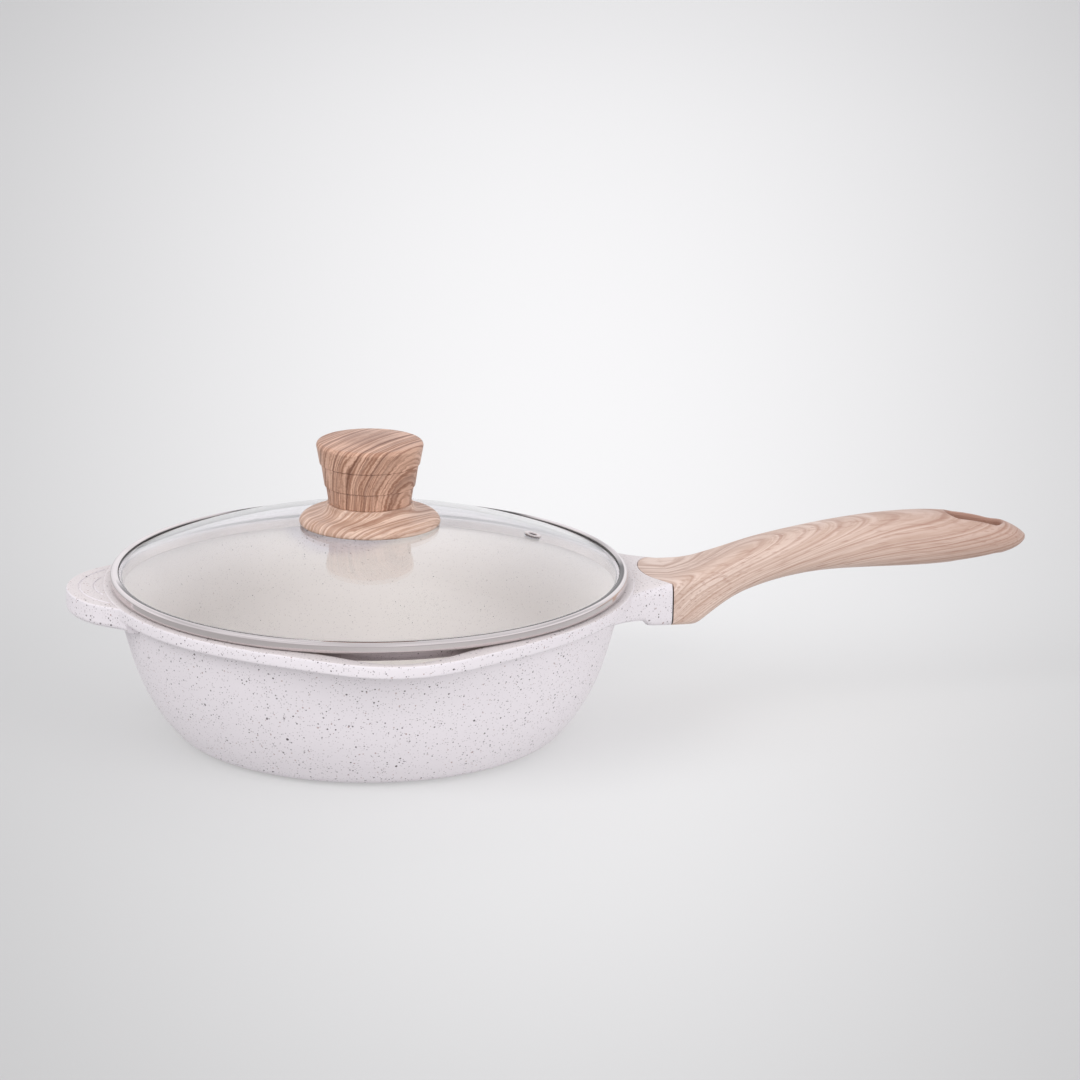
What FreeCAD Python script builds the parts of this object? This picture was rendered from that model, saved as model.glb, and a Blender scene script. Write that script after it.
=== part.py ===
import FreeCAD, Part
import math
import os

# A saucepan with a glass lid: cast pan with two pouring lips, a helper ear and a handle stub,
# a moulded handle, and a domed glass lid in a steel band with a two-piece knob.
# Millimetres. Origin at the centre of the base's underside, +Z up, +X along the handle.

V = FreeCAD.Vector
UP = V(0, 0, 1)

# --- pan casting ---
mouth_r = 119.7          # inside radius at the rim
pan_height = 72.3        # base to top of the rim
wall = 2.8               # thickness of the cast wall
floor = 4.0              # thickness of the cast floor
base_inset = 34.7        # edge of the flat underside, in from the mouth
rim_wall = 2.0           # wall at the rim, from the mouth out
wall_lean = 16.0         # how far the wall comes in, straight part
wall_belly = 14.0        # how far more it comes in near the base
inner_corner = 9.0       # size of the curve from floor to wall inside
flange_reach = 6.6       # how far the rim flange stands out from the mouth
flange_height = 6.0
flange_round = 1.0       # roundness of the flange's edges
lip_out = 7.0            # how far each pouring lip pushes the flange out
lip_channel = 9.0        # how far the lip's channel runs out from the mouth
lip_dip = 2.4            # how far the rim drops at a pouring lip
lip_spread = 40.0        # half angle over which the flange swells, degrees
channel_spread = 20.0    # half angle of the channel, degrees

# --- base plate ---
plate_inset = 7.0        # from the edge of the flat underside
plate_t = 1.0
plate_gap = 0.1          # around the plate in its recess
plate_hole_r = 2.0
plate_hole_rows = 5

# --- helper ear ---
ear_r = 41.3             # radius of the ear's round edge
ear_reach = 17.3         # how far its tip stands out from the flange
ear_t = 10.5
ear_blend = 14.0         # concave radius between ear and flange
ear_edge = 2.6           # roundness of the lower edge
flush_step = 0.3         # ear and stub tops sit this far below the rim
groove_inset = (6.0, 13.0)
groove_r = 0.7
groove_depth = 0.4

# --- handle stub and tenon ---
stub_reach = 16.2        # how far its end face stands out from the flange
stub_end_w = 24.6        # half width of the end face
stub_end_h = 23.7        # height of the end face
stub_square = 5.5        # squareness of its section
# distance back from the end face, then underside below the stub's top, and how much wider each
# side is there than the end face
stub_shape = (
    (42.0, -13.5, 37.4),
    (34.0, -13.8, 29.4),
    (28.0, -14.6, 23.4),
    (22.5, -16.0, 17.4),
    (18.0, -17.2, 12.4),
    (15.0, -18.0, 10.0),
    (13.6, -20.6, 9.0),
    (11.5, -21.6, 7.4),
    (6.0, -22.6, 3.8),
)
tenon_w = 22.0
tenon_t = 8.0
tenon_len = 24.0
tenon_drop = 12.0        # from the stub's top to the tenon's middle
fit_gap = 0.3            # around tenon, tongue and other loose fits

# --- handle ---
gasket_t = 0.7
handle_len = 180.0       # seam to tip
tongue_len = 12.5        # tongue lying in the stub's top
tongue_w = 22.0
tongue_t = 3.0
tip_flat = 1.5
slot_len = 28.0          # hanging slot
slot_w = 12.0
slot_from_tip = 12.5
slot_edge = 1.5
# share of the handle's length, then top, bottom and half width, and squareness of the section;
# top and bottom are measured from the stub's top
handle_shape = (
    (0.0, 0.0, -stub_end_h, stub_end_w, stub_square),
    (0.045, 1.2, -25.0, 20.6, 5.0),
    (0.072, 2.4, -25.6, 18.8, 4.6),
    (0.09, 3.4, -23.8, 17.6, 4.2),
    (0.14, 6.6, -17.8, 15.3, 3.6),
    (0.19, 10.1, -12.8, 13.6, 3.0),
    (0.25, 13.8, -9.0, 12.6, 2.7),
    (0.33, 17.0, -5.2, 12.1, 2.5),
    (0.43, 20.6, -2.4, 12.5, 2.4),
    (0.57, 24.0, -2.0, 13.9, 2.3),
    (0.71, 25.2, -2.0, 14.5, 2.3),
    (0.82, 23.6, -0.6, 13.8, 2.2),
    (0.91, 20.4, 1.6, 11.6, 2.2),
    (0.965, 16.6, 4.2, 8.4, 2.2),
    (0.99, 13.4, 6.8, 4.8, 2.1),
)

# --- handle screw ---
screw_r = 2.5
screw_clear = 0.2
thread_gap = 0.05
head_r = 4.4
head_h = 2.6
head_gap = 0.4
handle_screw_x = 13.0    # behind the seam
handle_screw_len = 12.5
handle_screw_seat = 2.6  # thickness of moulding under the tenon that the screw clamps
washer_t = 1.0
spring_washer_t = 1.0
spring_split = 0.8

# --- lid ---
lid_gap = 0.3            # lid band above the rim
band_cover = 3.3         # how far the band reaches out over the rim
band_t = 0.5
band_corner = 1.6
band_lip = 3.8           # how far the band covers the glass
seal_t = 0.4
skirt_gap = 1.0          # skirt to the wall beside its lower edge
skirt_drop = 5.0
glass_edge_t = 3.3
glass_t = 3.5
brim = 3.2
dome_rise = 24.0

# --- knob ---
foot_r = 33.4
foot_h = 5.6             # height of the foot's rounded rim
collar_r = 20.6
collar_h = 10.0          # foot's underside edge to the top of its collar
pad_t = 0.5
pad_inset = 1.9          # from the foot's edge
pad_w = 6.5
grip_bottom_r = 19.6
grip_top_r = 25.3
grip_h = 31.4
grip_steps = (8.3, 18.9) # heights of the two steps
grip_step = 0.8
grip_crown = 1.6
grip_edge = 1.8
spigot_r = 11.8
spigot_h = 3.0
insert_flats = 9.0
insert_len = 12.0
knob_screw_len = 21.0
knob_hole_r = 3.6
seat_r = 9.0
seat_t = 1.0

# --- steam vent ---
vent_at = 78.4           # from the lid's axis, towards the handle
vent_bore_r = 2.0
vent_barrel_r = 2.6
vent_hole_r = 3.0
vent_flange_r = 4.2
vent_flange_t = 0.6

# --- values that follow ---
flange_r = mouth_r + flange_reach
rim_wall_r = mouth_r + rim_wall
base_r = mouth_r - base_inset
plate_r = base_r - plate_inset
ear_tip = flange_r + ear_reach
stub_end = flange_r + stub_reach
stub_top = pan_height - flush_step
seam_x = stub_end + gasket_t
tenon_z = stub_top - tenon_drop
band_r = mouth_r + band_cover
band_z = pan_height + lid_gap
glass_r = band_r - band_t - seal_t
brim_z = band_z + band_t + seal_t
brim_top = brim_z + glass_edge_t
dome_r = glass_r - brim
sphere_r = (dome_r**2 + dome_rise**2) / (2 * dome_rise)
apex_z = brim_top + dome_rise
sphere_z = apex_z - sphere_r
pad_out = foot_r - pad_inset
pad_in = pad_out - pad_w


def solid_of(outline):
    """Revolves a closed outline of lines and arcs, drawn in the XZ plane, about Z."""
    face = Part.Face(wire_of(outline, lambda a, b: V(a, 0, b)))
    return face.revolve(V(0, 0, 0), UP, 360)


def wire_of(outline, place):
    """Closed wire: a two-number entry is a line's end, a four-number entry an arc's middle and end."""
    edges = []
    last = outline[0]
    for entry in outline[1:] + [outline[0]]:
        end = entry[-2:]
        if math.dist(last, end) < 1e-6:
            continue
        if len(entry) == 4:
            edges.append(Part.Arc(place(*last), place(*entry[:2]), place(*end)).toShape())
        else:
            edges.append(Part.LineSegment(place(*last), place(*end)).toShape())
        last = end
    return Part.Wire(edges)


def prism(outline, low, high):
    """Plan outline stretched from low to high."""
    face = Part.Face(wire_of(outline, lambda a, b: V(a, b, low)))
    return face.extrude(V(0, 0, high - low))


def rod(r, low, high, x=0.0, y=0.0):
    return Part.makeCylinder(r, high - low, V(x, y, low), UP)


def ring(outer, inner, low, high, x=0.0):
    return rod(outer, low, high, x).cut(rod(inner, low - 1, high + 1, x))


def ball(r, z):
    return Part.makeSphere(r, V(0, 0, z))


def skin(loops):
    """Closed solid under a smooth surface whose control loops are given, with flat ends."""
    around = len(loops[0])
    along = len(loops)
    poles = [[loop[i] for loop in loops] for i in range(around)]
    surface = Part.BSplineSurface()
    surface.buildFromPolesMultsKnots(
        poles,
        [1] * (around + 1),
        [4] + [1] * (along - 4) + [4],
        [float(i) for i in range(around + 1)],
        [float(i) for i in range(along - 2)],
        True,
        False,
        3,
        3,
    )
    side = surface.toShape()
    caps = [Part.Face(Part.Wire([e])) for e in side.Edges if end_edge(e, loops)]
    shell = Part.Shell([side] + caps)
    shell.sewShape()
    made = Part.Solid(Part.Shell(shell.Faces))
    if made.Volume < 0:
        made.reverse()
    return made


def end_edge(edge, loops):
    """True for the closed edge round either end of a skin, false for its seam."""
    return edge.isClosed() and edge.Length > 0.2 * min(loop_length(loops[0]), loop_length(loops[-1]))


def loop_length(loop):
    return sum(a.distanceToPoint(b) for a, b in zip(loop, loop[1:] + loop[:1]))


def round_edges(shape, r, chosen):
    edges = [e for e in shape.Edges if chosen(e)]
    return shape.makeFillet(r, edges)


def edge_at_z(z):
    """Chooses the edges that lie level at height z."""
    return lambda e: abs(e.BoundBox.ZMin - z) < 0.01 and abs(e.BoundBox.ZMax - z) < 0.01


# --- pan ---


def outer_wall(z):
    """Outside radius of the plain wall at height z."""
    down = 1 - z / pan_height
    return rim_wall_r - down * (wall_lean + wall_belly * down**3)


def inner_wall(z):
    """Inside radius at height z: the wall's thickness in from the outside, square to it."""
    slope = outer_wall(z + 0.5) - outer_wall(z - 0.5)
    return outer_wall(z) - wall * math.hypot(1, slope)


def swell(angle, spread):
    """1 in the middle of either pouring lip, falling smoothly to 0 at the spread angle."""
    off = abs(abs(math.degrees(math.atan2(math.sin(angle), math.cos(angle)))) - 90)
    if off >= spread:
        return 0.0
    return math.cos(math.radians(90 * off / spread)) ** 2


def pan_rows():
    """Control rows round the pan, from the base up the outside, over the rim and down inside.
    Each is radius, height, share of the lip's swell, share of its dip, and whether it is inside."""
    top = pan_height
    under = top - flange_height
    rows = [
        (base_r, 0.0, 0, 0, False),
        (base_r + 3.0, 0.0, 0, 0, False),
        (outer_wall(1.4), 1.4, 0, 0, False),
    ]
    low = 5.0
    high = under - 7.0
    for i in range(8):
        z = low + (high - low) * i / 7
        share = max(0.0, (z - 0.6 * top) / (0.4 * top)) ** 1.5
        rows.append((outer_wall(z), z, share, share, False))
    rows += [
        (outer_wall(under - 2.6), under - 2.6, 0.75, 0.8, False),
        (flange_r - 3.6, under - 0.4, 0.95, 1, False),
        (flange_r - 0.2, under, 1, 1, False),
        (flange_r, under + flange_round, 1, 1, False),
        (flange_r, top - flange_round, 1, 1, False),
        (flange_r - 0.15, top - 0.15, 1, 1, False),
        (flange_r - flange_round, top, 1, 1, False),
        (mouth_r + 2 * flange_round, top, 1, 1, True),
        (mouth_r + 0.2, top - 0.1, 1, 1, True),
        (mouth_r, top - flange_round, 1, 1, True),
    ]
    high = top - 5.0
    low = floor + inner_corner
    for i in range(8):
        z = high + (low - high) * i / 7
        share = max(0.0, (z - 0.62 * top) / (0.38 * top)) ** 1.5
        rows.append((inner_wall(z), z, share, share, True))
    corner = inner_wall(floor + 1.5)
    rows += [
        (corner - 0.5, floor + 0.25 * inner_corner, 0, 0, True),
        (corner - 0.45 * inner_corner, floor, 0, 0, True),
        (corner - 1.3 * inner_corner, floor, 0, 0, True),
    ]
    return rows


def pan_shell():
    """Bowl with its flange and both pouring lips, as one skin that folds back on itself."""
    around = 96
    step = 2 * math.pi / around
    grow = 3 / (2 + math.cos(step))
    loops = []
    for r, z, share, dip, inside in pan_rows():
        loop = []
        for i in range(around):
            angle = i * step
            if inside:
                out = lip_channel * swell(angle, channel_spread)
            else:
                out = lip_out * swell(angle, lip_spread)
            radius = grow * (r + share * out)
            height = z - dip * lip_dip * swell(angle, channel_spread + 5)
            loop.append(V(radius * math.cos(angle), radius * math.sin(angle), height))
        loops.append(loop)
    return skin(loops)


def pan_core():
    """Everything inside the middle of the cast wall, used to trim what joins it from outside."""
    half = 0.5 * wall
    low = 0.4 * pan_height
    under = pan_height - flange_height
    mid_flange = mouth_r + 0.5 * flange_reach
    outline = [
        (0, low),
        (outer_wall(low) - half, low),
        (outer_wall(under - 12) - half, under - 12),
        (outer_wall(under - 4) - half, under - 4),
        (mid_flange, under + 2),
        (mid_flange, pan_height + 5),
        (0, pan_height + 5),
    ]
    return solid_of(outline)


def ear():
    """Round helper ear with a flat top, blended into the flange by concave arcs."""
    centre = ear_r - ear_tip
    rim = flange_r - 1.2
    far = ear_r + ear_blend
    reach = rim + ear_blend
    bx = (reach**2 - far**2 + centre**2) / (2 * centre)
    by = math.sqrt(reach**2 - bx**2)
    on_ear = (centre + (bx - centre) * ear_r / far, by * ear_r / far)
    on_rim = (bx * rim / reach, by * rim / reach)
    toward = math.atan2(on_ear[1] - by + on_rim[1] - by, on_ear[0] - bx + on_rim[0] - bx)
    mid = (bx + ear_blend * math.cos(toward), by + ear_blend * math.sin(toward))
    inner = mouth_r - 15
    outline = [
        (-inner, on_rim[1]),
        on_rim,
        (*mid, *on_ear),
        (-ear_tip, 0, on_ear[0], -on_ear[1]),
        (mid[0], -mid[1], on_rim[0], -on_rim[1]),
        (-inner, -on_rim[1]),
    ]
    low = stub_top - ear_t
    body = prism(outline, low, stub_top)
    body = round_edges(body, ear_edge, lambda e: edge_at_z(low)(e) and e.BoundBox.XMin < -inner - 20)
    body = round_edges(body, 0.9, lambda e: edge_at_z(stub_top)(e) and e.BoundBox.XMin < -inner - 20)
    clear = rod(flange_r + 1.2, low - 5, stub_top + 5)
    groove_z = stub_top + groove_r - groove_depth
    for inset in groove_inset:
        groove = Part.makeTorus(ear_r - inset, groove_r, V(centre, 0, groove_z), UP)
        body = body.cut(groove.cut(clear))
    return body.cut(pan_core())


def rounded_section(x, top, bottom, half_w, square):
    """Control loop of a rounded, upright section; top and bottom are measured from the stub's top."""
    around = 40
    middle = stub_top + 0.5 * (top + bottom)
    half_h = 0.5 * (top - bottom)
    loop = []
    for i in range(around):
        angle = 2 * math.pi * (i + 0.5) / around
        c = math.cos(angle)
        s = math.sin(angle)
        y = half_w * math.copysign(abs(c) ** (2 / square), c)
        z = half_h * math.copysign(abs(s) ** (2 / square), s)
        loop.append(V(x, y, middle + z))
    return loop


def stub_loops():
    """Control loops of the stub, up to its end face."""
    loops = []
    for back, low, wider in stub_shape:
        loops.append(rounded_section(stub_end - back, 0, low, stub_end_w + wider, stub_square))
    return loops


def end_section(x):
    return rounded_section(x, 0, -stub_end_h, stub_end_w, stub_square)


def stub():
    """Handle stub with its collar, tongue recess, tenon and the tenon's tapped hole."""
    body = skin(stub_loops() + [end_section(stub_end)])
    start = V(stub_end - 4, -tenon_w / 2, tenon_z - tenon_t / 2)
    tenon = Part.makeBox(tenon_len + 4, tenon_w, tenon_t, start)
    tenon = round_edges(tenon, 1.0, lambda e: e.BoundBox.XLength > tenon_len)
    body = body.cut(tongue(fit_gap)).fuse(tenon)
    tapped = rod(screw_r + thread_gap, tenon_z - tenon_t, tenon_z + tenon_t, seam_x + handle_screw_x)
    return body.cut(tapped).cut(pan_core())


def tongue(gap):
    """Half-oval plate in the stub's top; gap makes the recess that the handle's tongue drops into."""
    long_axis = tongue_len + gap
    wide_axis = tongue_w + gap
    low = stub_top - tongue_t - gap
    points = []
    for i in range(13):
        angle = math.pi * (0.5 + i / 12)
        points.append(V(seam_x + long_axis * math.cos(angle), wide_axis * math.sin(angle), low))
    curve = Part.BSplineCurve()
    curve.interpolate(points)
    back = seam_x + (3.0 if gap == 0 else 1.0)
    edges = [
        curve.toShape(),
        Part.LineSegment(points[-1], V(back, -wide_axis, low)).toShape(),
        Part.LineSegment(V(back, -wide_axis, low), V(back, wide_axis, low)).toShape(),
        Part.LineSegment(V(back, wide_axis, low), points[0]).toShape(),
    ]
    height = tongue_t + gap + (1.0 if gap else 0.0)
    return Part.Face(Part.Wire(edges)).extrude(V(0, 0, height))


def crowned_tongue():
    """The handle's own tongue, with its top following the stub and the handle."""
    neck = skin(stub_loops() + [end_section(stub_end), end_section(seam_x)])
    return tongue(0).common(neck.fuse(handle_blank()))


def pan_body():
    """The whole casting, with the recess for the base plate."""
    body = pan_shell().fuse([ear(), stub()])
    recess = rod(plate_r + plate_gap, -1, plate_t)
    return body.cut(recess).removeSplitter()


def base_plate():
    """Steel disc let into the underside, with rings of small holes for the bond."""
    plate = rod(plate_r, 0, plate_t)
    holes = []
    for row in range(1, plate_hole_rows + 1):
        radius = plate_r * row / (plate_hole_rows + 0.6)
        count = 6 * row
        for i in range(count):
            angle = 2 * math.pi * (i + 0.5 * (row % 2)) / count
            x = radius * math.cos(angle)
            y = radius * math.sin(angle)
            holes.append(rod(plate_hole_r, -1, plate_t + 1, x, y))
    return plate.cut(holes)


# --- handle ---


def handle_blank():
    """The moulding's outer form, from the seam to the rounded tip."""
    loops = [rounded_section(seam_x + row[0] * handle_len, *row[1:]) for row in handle_shape]
    tip_top, tip_bottom, tip_w = handle_shape[-1][1:4]
    middle = 0.5 * (tip_top + tip_bottom)
    loops.append(rounded_section(seam_x + handle_len, middle + tip_flat, middle - tip_flat, tip_flat, 2.0))
    return skin(loops)


def slot_tool():
    """Upright tool for the hanging slot near the tip."""
    r = slot_w / 2
    back = seam_x + handle_len - slot_from_tip
    front = back - slot_len
    outline = [
        (front + r, r),
        (back - r, r),
        (back, 0, back - r, -r),
        (front + r, -r),
        (front, 0, front + r, r),
    ]
    return prism(outline, stub_top - 20, stub_top + 60)


def handle():
    """Moulded handle: grip, tongue, socket for the tenon, screw hole and hanging slot."""
    body = handle_blank().fuse(crowned_tongue())
    socket = Part.makeBox(
        tenon_len - gasket_t + fit_gap + 1, tenon_w + 2 * fit_gap, tenon_t + 2 * fit_gap,
        V(seam_x - 1, -tenon_w / 2 - fit_gap, tenon_z - tenon_t / 2 - fit_gap))
    x = seam_x + handle_screw_x
    seat = screw_seat_z()
    through = rod(screw_r + screw_clear, seat - 1, tenon_z, x)
    counterbore = rod(head_r + head_gap, stub_top - 60, seat, x)
    body = body.cut([socket, through, counterbore, slot_tool()])
    return round_edges(body, slot_edge, slot_mouth)


def slot_mouth(edge):
    """True for the edges where the hanging slot breaks the grip's surface."""
    back = seam_x + handle_len - slot_from_tip
    box = edge.BoundBox
    inside = box.XMin > back - slot_len - 0.1 and box.XMax < back + 0.1
    return inside and box.YMax < slot_w / 2 + 0.1 and box.YMin > -slot_w / 2 - 0.1 and box.ZLength < 8


def screw_seat_z():
    """Height of the shoulder that the handle screw's washers bear on."""
    return tenon_z - tenon_t / 2 - fit_gap - handle_screw_seat


def handle_gasket():
    """Thin black packing between the stub's end face and the handle."""
    inset = 0.4
    top = -tongue_t - fit_gap - 0.2
    points = rounded_section(stub_end, top, inset - stub_end_h, stub_end_w - inset, stub_square)
    curve = Part.BSplineCurve()
    curve.buildFromPolesMultsKnots(points, periodic=True, degree=3)
    plate = Part.Face(Part.Wire([curve.toShape()])).extrude(V(gasket_t, 0, 0))
    hole = Part.makeBox(
        gasket_t + 2, tenon_w + 2 * fit_gap, tenon_t + 2 * fit_gap,
        V(stub_end - 1, -tenon_w / 2 - fit_gap, tenon_z - tenon_t / 2 - fit_gap))
    return plate.cut(hole)


def pan_head_screw(x, seat, length):
    """Cross-recess screw that points up, with a domed head below its seat."""
    head = [
        (0, 0),
        (head_r, 0),
        (head_r, -0.9),
        (0.8 * head_r, -0.8 * head_h, 0.35 * head_r, -head_h),
        (0, -head_h),
    ]
    screw = solid_of(head).fuse(rod(screw_r, 0, length - 0.8))
    tip = Part.makeCone(screw_r, screw_r - 0.7, 0.8, V(0, 0, length - 0.8), UP)
    screw = screw.fuse(tip)
    for turn in (0, 90):
        slot = Part.makeBox(1.0, 4.4, 1.8, V(-0.5, -2.2, -head_h - 0.2))
        slot.rotate(V(0, 0, 0), UP, turn)
        screw = screw.cut(slot)
    screw.translate(V(x, 0, seat))
    return screw.removeSplitter()


def spring_washer(x, top):
    """Split washer under the handle screw's head."""
    washer = ring(head_r - 0.3, screw_r + screw_clear, top - spring_washer_t, top, x)
    gap = Part.makeBox(head_r + 1, spring_split, spring_washer_t + 2,
                       V(x, -spring_split / 2, top - spring_washer_t - 1))
    return washer.cut(gap)


# --- lid ---


def glass_dome():
    """Tempered glass: a shallow dome with a narrow brim, drilled for the knob and the vent."""
    inner_r = sphere_r - glass_t
    inner_edge = math.sqrt(inner_r**2 - (brim_z - sphere_z) ** 2)
    outline = [
        on_dome(inner_r, knob_hole_r),
        (*on_dome(inner_r, 0.6 * inner_edge), inner_edge, brim_z),
        (glass_r - 0.8, brim_z),
        (glass_r, brim_z + 0.8),
        (glass_r, brim_top - 0.8),
        (glass_r - 0.8, brim_top),
        (dome_r, brim_top),
        (*on_dome(sphere_r, 0.6 * dome_r), *on_dome(sphere_r, knob_hole_r)),
    ]
    drill = at_vent(rod(vent_hole_r, -15, 15))
    return solid_of(outline).cut(drill)


def on_dome(ball_r, radius):
    """Point on a ball about the dome's centre, as radius and height."""
    return (radius, sphere_z + math.sqrt(ball_r**2 - radius**2))


def at_vent(shape):
    """Moves a shape built upright at the origin to the vent, square to the glass."""
    tilt = math.asin(vent_at / sphere_r)
    shape.rotate(V(0, 0, 0), V(0, 1, 0), math.degrees(tilt))
    shape.translate(V(vent_at, 0, on_dome(sphere_r, vent_at)[1]))
    return shape


def vent_eyelet():
    """Steel eyelet: domed flange on the glass and a barrel through it."""
    outline = [
        (vent_bore_r, vent_flange_t),
        (vent_bore_r, -glass_t - 0.9),
        (vent_barrel_r, -glass_t - 0.9),
        (vent_barrel_r, 0),
        (vent_flange_r, 0),
        (vent_flange_r - 0.2, 0.45 * vent_flange_t, vent_flange_r - 0.9, vent_flange_t),
    ]
    return at_vent(solid_of(outline))


def vent_washer():
    """Steel washer that the eyelet is spun over, under the glass."""
    outline = [
        (vent_barrel_r, -glass_t - 0.05),
        (vent_barrel_r, -glass_t - 0.75),
        (vent_flange_r - 0.4, -glass_t - 0.75),
        (vent_flange_r, -glass_t - 0.4),
        (vent_flange_r, -glass_t - 0.05),
    ]
    return at_vent(solid_of(outline))


def corner(x, z, r, start, bend=90):
    """Middle and end of a rounded corner's arc, centre (x, z), from the start angle in degrees."""
    mid = math.radians(start + bend / 2)
    end = math.radians(start + bend)
    return (x + r * math.cos(mid), z + r * math.sin(mid), x + r * math.cos(end), z + r * math.sin(end))


def lid_band():
    """Pressed steel band: lip over the glass, rounded outside, return below and a skirt inside."""
    top = brim_top + seal_t + band_t
    skirt_r = inner_wall(band_z - skirt_drop) - skirt_gap
    bottom = band_z - skirt_drop
    r = band_corner
    inner = r - band_t
    low_r = 1.0
    lip = band_r - band_lip
    outline = [
        (lip, top - band_t),
        (lip, top),
        (band_r - r, top),
        corner(band_r - r, top - r, r, 90, -90),
        (band_r, band_z + low_r),
        corner(band_r - low_r, band_z + low_r, low_r, 0, -90),
        (skirt_r, band_z),
        (skirt_r, bottom),
        (skirt_r - band_t, bottom),
        (skirt_r - band_t, band_z + band_t),
        (band_r - low_r, band_z + band_t),
        corner(band_r - low_r, band_z + low_r, low_r - band_t, -90),
        (band_r - band_t, top - r),
        corner(band_r - r, top - r, inner, 0),
    ]
    return solid_of(outline)


def band_seal():
    """Thin dark lining folded round the edge of the glass inside the band."""
    lip = dome_r + 0.02
    outer = band_r - band_t
    low = band_z + band_t
    top = brim_top + seal_t
    cut = 1.2
    outline = [
        (lip, brim_top),
        (lip, top),
        (outer - cut, top),
        (outer, top - cut),
        (outer, low + 0.6),
        (outer - 0.6, low),
        (lip + 1, low),
        (lip + 1, brim_z),
        (glass_r - 0.8, brim_z),
        (glass_r, brim_z + 0.8),
        (glass_r, brim_top - 0.8),
        (glass_r - 0.8, brim_top),
    ]
    return solid_of(outline)


def foot_z(radius):
    """Height of the knob foot's underside, which follows the glass."""
    return on_dome(sphere_r + pad_t, radius)[1]


def knob_foot():
    """Flared foot of the knob with a collar that the grip stands on."""
    edge = foot_z(foot_r - 0.6)
    top = edge + collar_h
    outline = [
        (screw_r + 0.7, foot_z(screw_r + 0.7)),
        (0.5 * foot_r, foot_z(0.5 * foot_r), foot_r - 0.6, edge),
        (foot_r, edge + 0.7),
        (foot_r - 0.5, edge + 0.62 * foot_h, foot_r - 3.6, edge + foot_h),
        (collar_r + 0.25 * (foot_r - collar_r), edge + foot_h + 1.5),
        (collar_r + 0.6, edge + foot_h + 2.3, collar_r, top),
        (spigot_r + 0.2, top),
        (spigot_r + 0.2, top - spigot_h - 0.2),
        (screw_r + 0.7, top - spigot_h - 0.2),
    ]
    return solid_of(outline)


def knob_pad():
    """Clear silicone ring between the foot and the glass."""
    outer = ball(sphere_r + pad_t, sphere_z)
    tube = ring(pad_out, pad_in, apex_z - 8, apex_z + 4)
    return tube.common(outer).cut(ball(sphere_r, sphere_z))


def grip_bottom():
    return foot_z(foot_r - 0.6) + collar_h


def insert_hex(gap=0.0):
    """Six-sided insert moulded in the grip."""
    across = insert_flats / math.cos(math.pi / 6) / 2 + gap
    low = grip_bottom() - spigot_h
    corners = [(across * math.cos(math.pi * i / 3), across * math.sin(math.pi * i / 3)) for i in range(6)]
    return prism(corners, low, low + insert_len)


def crown_middle(half, rise, top):
    """Point halfway out on a shallow crown whose ball is centred on the axis."""
    r = (half**2 + rise**2) / (2 * rise)
    return (0.5 * half, top - r + math.sqrt(r**2 - 0.25 * half**2))


def knob_grip():
    """Tapered grip with two small steps and a crowned top, hollow for its insert and screw."""
    low = grip_bottom()
    top = low + grip_h
    slope = (grip_top_r - grip_bottom_r - 2 * grip_step) / (grip_h - grip_crown)
    radius = grip_bottom_r
    outline = [(0, low - spigot_h), (spigot_r, low - spigot_h), (spigot_r, low), (radius - 0.4, low)]
    outline.append((radius, low + 0.4))
    last = 0.0
    for height in grip_steps:
        radius += slope * (height - last)
        outline.append((radius, low + height))
        radius += grip_step
        outline.append((radius, low + height + 0.35))
        last = height
    shoulder = top - grip_crown - grip_edge
    outline.append((grip_top_r, shoulder))
    crown_r = grip_top_r - grip_edge
    outline.append((grip_top_r - 0.45, shoulder + 0.75 * grip_edge, crown_r, shoulder + grip_edge))
    outline.append((*crown_middle(crown_r, grip_crown, top), 0, top))
    body = solid_of(outline).cut(insert_hex())
    pocket = rod(screw_r + 0.5, low - spigot_h - 1, knob_screw_seat() + knob_screw_len + 1.5)
    return body.cut(pocket)


def knob_insert():
    body = insert_hex()
    box = body.BoundBox
    return body.cut(rod(screw_r + thread_gap, box.ZMin - 1, box.ZMax + 1))


def knob_washer_seat():
    """Height of the glass's underside at the middle of the lid."""
    return apex_z - glass_t


def knob_screw_seat():
    """Height of the face that the knob screw's head bears on."""
    return knob_washer_seat() - 0.2 - seat_t - washer_t


def knob_seal():
    """Soft washer under the glass, shaped to it."""
    low = knob_washer_seat() - 0.2 - seat_t
    disc = ring(seat_r, screw_r + 0.3, low, apex_z)
    return disc.common(ball(sphere_r - glass_t, sphere_z))


def knob_washer():
    low = knob_screw_seat()
    return ring(seat_r - 1.5, screw_r + 0.3, low, low + washer_t)


# --- all pieces ---


def pieces():
    seat = screw_seat_z()
    x = seam_x + handle_screw_x
    return {
        "pan_body": pan_body(),
        "base_plate": base_plate(),
        "handle": handle(),
        "handle_gasket": handle_gasket(),
        "handle_screw": pan_head_screw(x, seat - washer_t - spring_washer_t, handle_screw_len),
        "handle_spring_washer": spring_washer(x, seat - washer_t),
        "handle_washer": ring(head_r, screw_r + screw_clear, seat - washer_t, seat, x),
        "glass_dome": glass_dome(),
        "lid_band": lid_band(),
        "band_seal": band_seal(),
        "vent_eyelet": vent_eyelet(),
        "vent_washer": vent_washer(),
        "knob_foot": knob_foot(),
        "knob_pad": knob_pad(),
        "knob_grip": knob_grip(),
        "knob_insert": knob_insert(),
        "knob_screw": pan_head_screw(0, knob_screw_seat(), knob_screw_len),
        "knob_washer": knob_washer(),
        "knob_seal": knob_seal(),
    }


os.makedirs("parts", exist_ok=True)
for name, shape in pieces().items():
    print(name, shape.ShapeType, len(shape.Solids), shape.isValid(), round(shape.Volume, 1))
    shape.exportStep("parts/" + name + ".step")
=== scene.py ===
import bpy
import bmesh
import math
from mathutils import Matrix, Vector


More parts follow.
